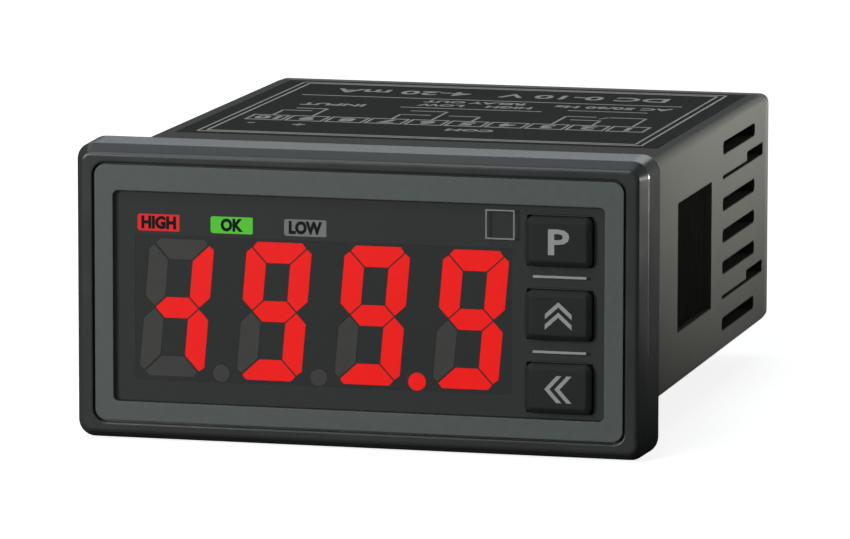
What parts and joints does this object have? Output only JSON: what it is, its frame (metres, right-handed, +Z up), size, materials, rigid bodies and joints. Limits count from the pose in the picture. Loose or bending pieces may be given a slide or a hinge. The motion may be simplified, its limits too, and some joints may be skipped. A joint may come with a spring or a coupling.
{
  "type": "digital panel meter",
  "caption": "Panel meter with a red seven-segment display behind a smoked window, front keys, a vented case with ratchet racks at the sides, and rear clamp terminals.",
  "frame": {"origin": "centre of the bezel, in the plane of the panel face that the bezel sits on", "axes": "+X to the right seen from the front, +Y back through the panel, +Z up"},
  "size_m": [0.048, 0.0576, 0.0244],
  "materials": {
    "bezel_plastic": "satin black",
    "film_grey": "smooth grey film",
    "window_smoke": "smoked clear",
    "module_black": "matt dark grey",
    "lens_lit": "lit red",
    "lens_dark": "unlit grey",
    "guide_red": "lit red",
    "guide_green": "lit green",
    "guide_grey": "unlit grey",
    "key_plastic": "matt dark grey",
    "switch_black": "matt black",
    "plunger_plastic": "matt ivory",
    "board_green": "satin green",
    "core_steel": "laminated steel",
    "coil_tape": "yellow tape",
    "sleeve_black": "dark sleeve",
    "relay_plastic": "matt black",
    "case_plastic": "fine-grained dark grey",
    "block_plastic": "matt dark grey",
    "label_print": "matt printed dark grey",
    "screw_steel": "nickel plated steel",
    "cage_steel": "zinc plated steel",
    "contact_brass": "tinned brass"
  },
  "bodies": {
    "housing": {"front_bezel": "bezel_plastic", "front_film": "film_grey", "display_window": "window_smoke", "display_module": "module_black", "indicator_holder": "module_black", "segments_lit": "lens_lit", "segments_dark": "lens_dark", "indicator_1": "guide_red", "indicator_2": "guide_green", "indicator_3": "guide_grey", "display_board": "board_green", "main_board": "board_green", "board_header": "switch_black", "transformer_core": "core_steel", "transformer_coil": "coil_tape", "capacitor_large": "sleeve_black", "capacitor_small": "sleeve_black", "relay_1": "relay_plastic", "relay_2": "relay_plastic", "processor_chip": "switch_black", "case_shell": "case_plastic", "terminal_block": "block_plastic", "wiring_label": "label_print", "contact_bars": "contact_brass", "key_mode_switch": "switch_black", "key_up_switch": "switch_black", "key_shift_switch": "switch_black"},
    "key_mode": {"key_mode_cap": "key_plastic", "key_mode_plunger": "plunger_plastic"},
    "key_up": {"key_up_cap": "key_plastic", "key_up_plunger": "plunger_plastic"},
    "key_shift": {"key_shift_cap": "key_plastic", "key_shift_plunger": "plunger_plastic"},
    "screw_1": {"terminal_screw_1": "screw_steel"},
    "cage_1": {"wire_cage_1": "cage_steel"},
    "screw_2": {"terminal_screw_2": "screw_steel"},
    "cage_2": {"wire_cage_2": "cage_steel"},
    "screw_3": {"terminal_screw_3": "screw_steel"},
    "cage_3": {"wire_cage_3": "cage_steel"},
    "screw_4": {"terminal_screw_4": "screw_steel"},
    "cage_4": {"wire_cage_4": "cage_steel"},
    "screw_5": {"terminal_screw_5": "screw_steel"},
    "cage_5": {"wire_cage_5": "cage_steel"},
    "screw_6": {"terminal_screw_6": "screw_steel"},
    "cage_6": {"wire_cage_6": "cage_steel"},
    "screw_7": {"terminal_screw_7": "screw_steel"},
    "cage_7": {"wire_cage_7": "cage_steel"},
    "screw_8": {"terminal_screw_8": "screw_steel"},
    "cage_8": {"wire_cage_8": "cage_steel"},
    "screw_9": {"terminal_screw_9": "screw_steel"},
    "cage_9": {"wire_cage_9": "cage_steel"},
    "screw_10": {"terminal_screw_10": "screw_steel"},
    "cage_10": {"wire_cage_10": "cage_steel"}
  },
  "joints": [
    {"name": "key_mode_press", "type": "slide", "parent": "housing", "child": "key_mode", "axis": [0, 1, 0], "range_m": [0, 0.0003], "stiffness_N_per_m": 2000, "springref_m": -0.0003},
    {"name": "key_up_press", "type": "slide", "parent": "housing", "child": "key_up", "axis": [0, 1, 0], "range_m": [0, 0.0003], "stiffness_N_per_m": 2000, "springref_m": -0.0003},
    {"name": "key_shift_press", "type": "slide", "parent": "housing", "child": "key_shift", "axis": [0, 1, 0], "range_m": [0, 0.0003], "stiffness_N_per_m": 2000, "springref_m": -0.0003},
    {"name": "screw_1_turn", "type": "hinge", "parent": "housing", "child": "screw_1", "pos_m": [-0.01715, 0.0472, -0.006], "axis": [0, 0, 1], "range_deg": [0, 1440]},
    {"name": "screw_2_turn", "type": "hinge", "parent": "housing", "child": "screw_2", "pos_m": [-0.01333, 0.0472, -0.006], "axis": [0, 0, 1], "range_deg": [0, 1440]},
    {"name": "screw_3_turn", "type": "hinge", "parent": "housing", "child": "screw_3", "pos_m": [-0.00953, 0.0472, -0.006], "axis": [0, 0, 1], "range_deg": [0, 1440]},
    {"name": "screw_4_turn", "type": "hinge", "parent": "housing", "child": "screw_4", "pos_m": [-0.00571, 0.0472, -0.006], "axis": [0, 0, 1], "range_deg": [0, 1440]},
    {"name": "screw_5_turn", "type": "hinge", "parent": "housing", "child": "screw_5", "pos_m": [-0.00191, 0.0472, -0.006], "axis": [0, 0, 1], "range_deg": [0, 1440]},
    {"name": "screw_6_turn", "type": "hinge", "parent": "housing", "child": "screw_6", "pos_m": [0.00191, 0.0472, -0.006], "axis": [0, 0, 1], "range_deg": [0, 1440]},
    {"name": "screw_7_turn", "type": "hinge", "parent": "housing", "child": "screw_7", "pos_m": [0.00571, 0.0472, -0.006], "axis": [0, 0, 1], "range_deg": [0, 1440]},
    {"name": "screw_8_turn", "type": "hinge", "parent": "housing", "child": "screw_8", "pos_m": [0.00953, 0.0472, -0.006], "axis": [0, 0, 1], "range_deg": [0, 1440]},
    {"name": "screw_9_turn", "type": "hinge", "parent": "housing", "child": "screw_9", "pos_m": [0.01333, 0.0472, -0.006], "axis": [0, 0, 1], "range_deg": [0, 1440]},
    {"name": "screw_10_turn", "type": "hinge", "parent": "housing", "child": "screw_10", "pos_m": [0.01715, 0.0472, -0.006], "axis": [0, 0, 1], "range_deg": [0, 1440]},
    {"name": "cage_1_draw", "type": "slide", "parent": "housing", "child": "cage_1", "axis": [0, 0, -1], "range_m": [0, 0.0016]},
    {"name": "cage_2_draw", "type": "slide", "parent": "housing", "child": "cage_2", "axis": [0, 0, -1], "range_m": [0, 0.0016]},
    {"name": "cage_3_draw", "type": "slide", "parent": "housing", "child": "cage_3", "axis": [0, 0, -1], "range_m": [0, 0.0016]},
    {"name": "cage_4_draw", "type": "slide", "parent": "housing", "child": "cage_4", "axis": [0, 0, -1], "range_m": [0, 0.0016]},
    {"name": "cage_5_draw", "type": "slide", "parent": "housing", "child": "cage_5", "axis": [0, 0, -1], "range_m": [0, 0.0016]},
    {"name": "cage_6_draw", "type": "slide", "parent": "housing", "child": "cage_6", "axis": [0, 0, -1], "range_m": [0, 0.0016]},
    {"name": "cage_7_draw", "type": "slide", "parent": "housing", "child": "cage_7", "axis": [0, 0, -1], "range_m": [0, 0.0016]},
    {"name": "cage_8_draw", "type": "slide", "parent": "housing", "child": "cage_8", "axis": [0, 0, -1], "range_m": [0, 0.0016]},
    {"name": "cage_9_draw", "type": "slide", "parent": "housing", "child": "cage_9", "axis": [0, 0, -1], "range_m": [0, 0.0016]},
    {"name": "cage_10_draw", "type": "slide", "parent": "housing", "child": "cage_10", "axis": [0, 0, -1], "range_m": [0, 0.0016]}
  ]
}
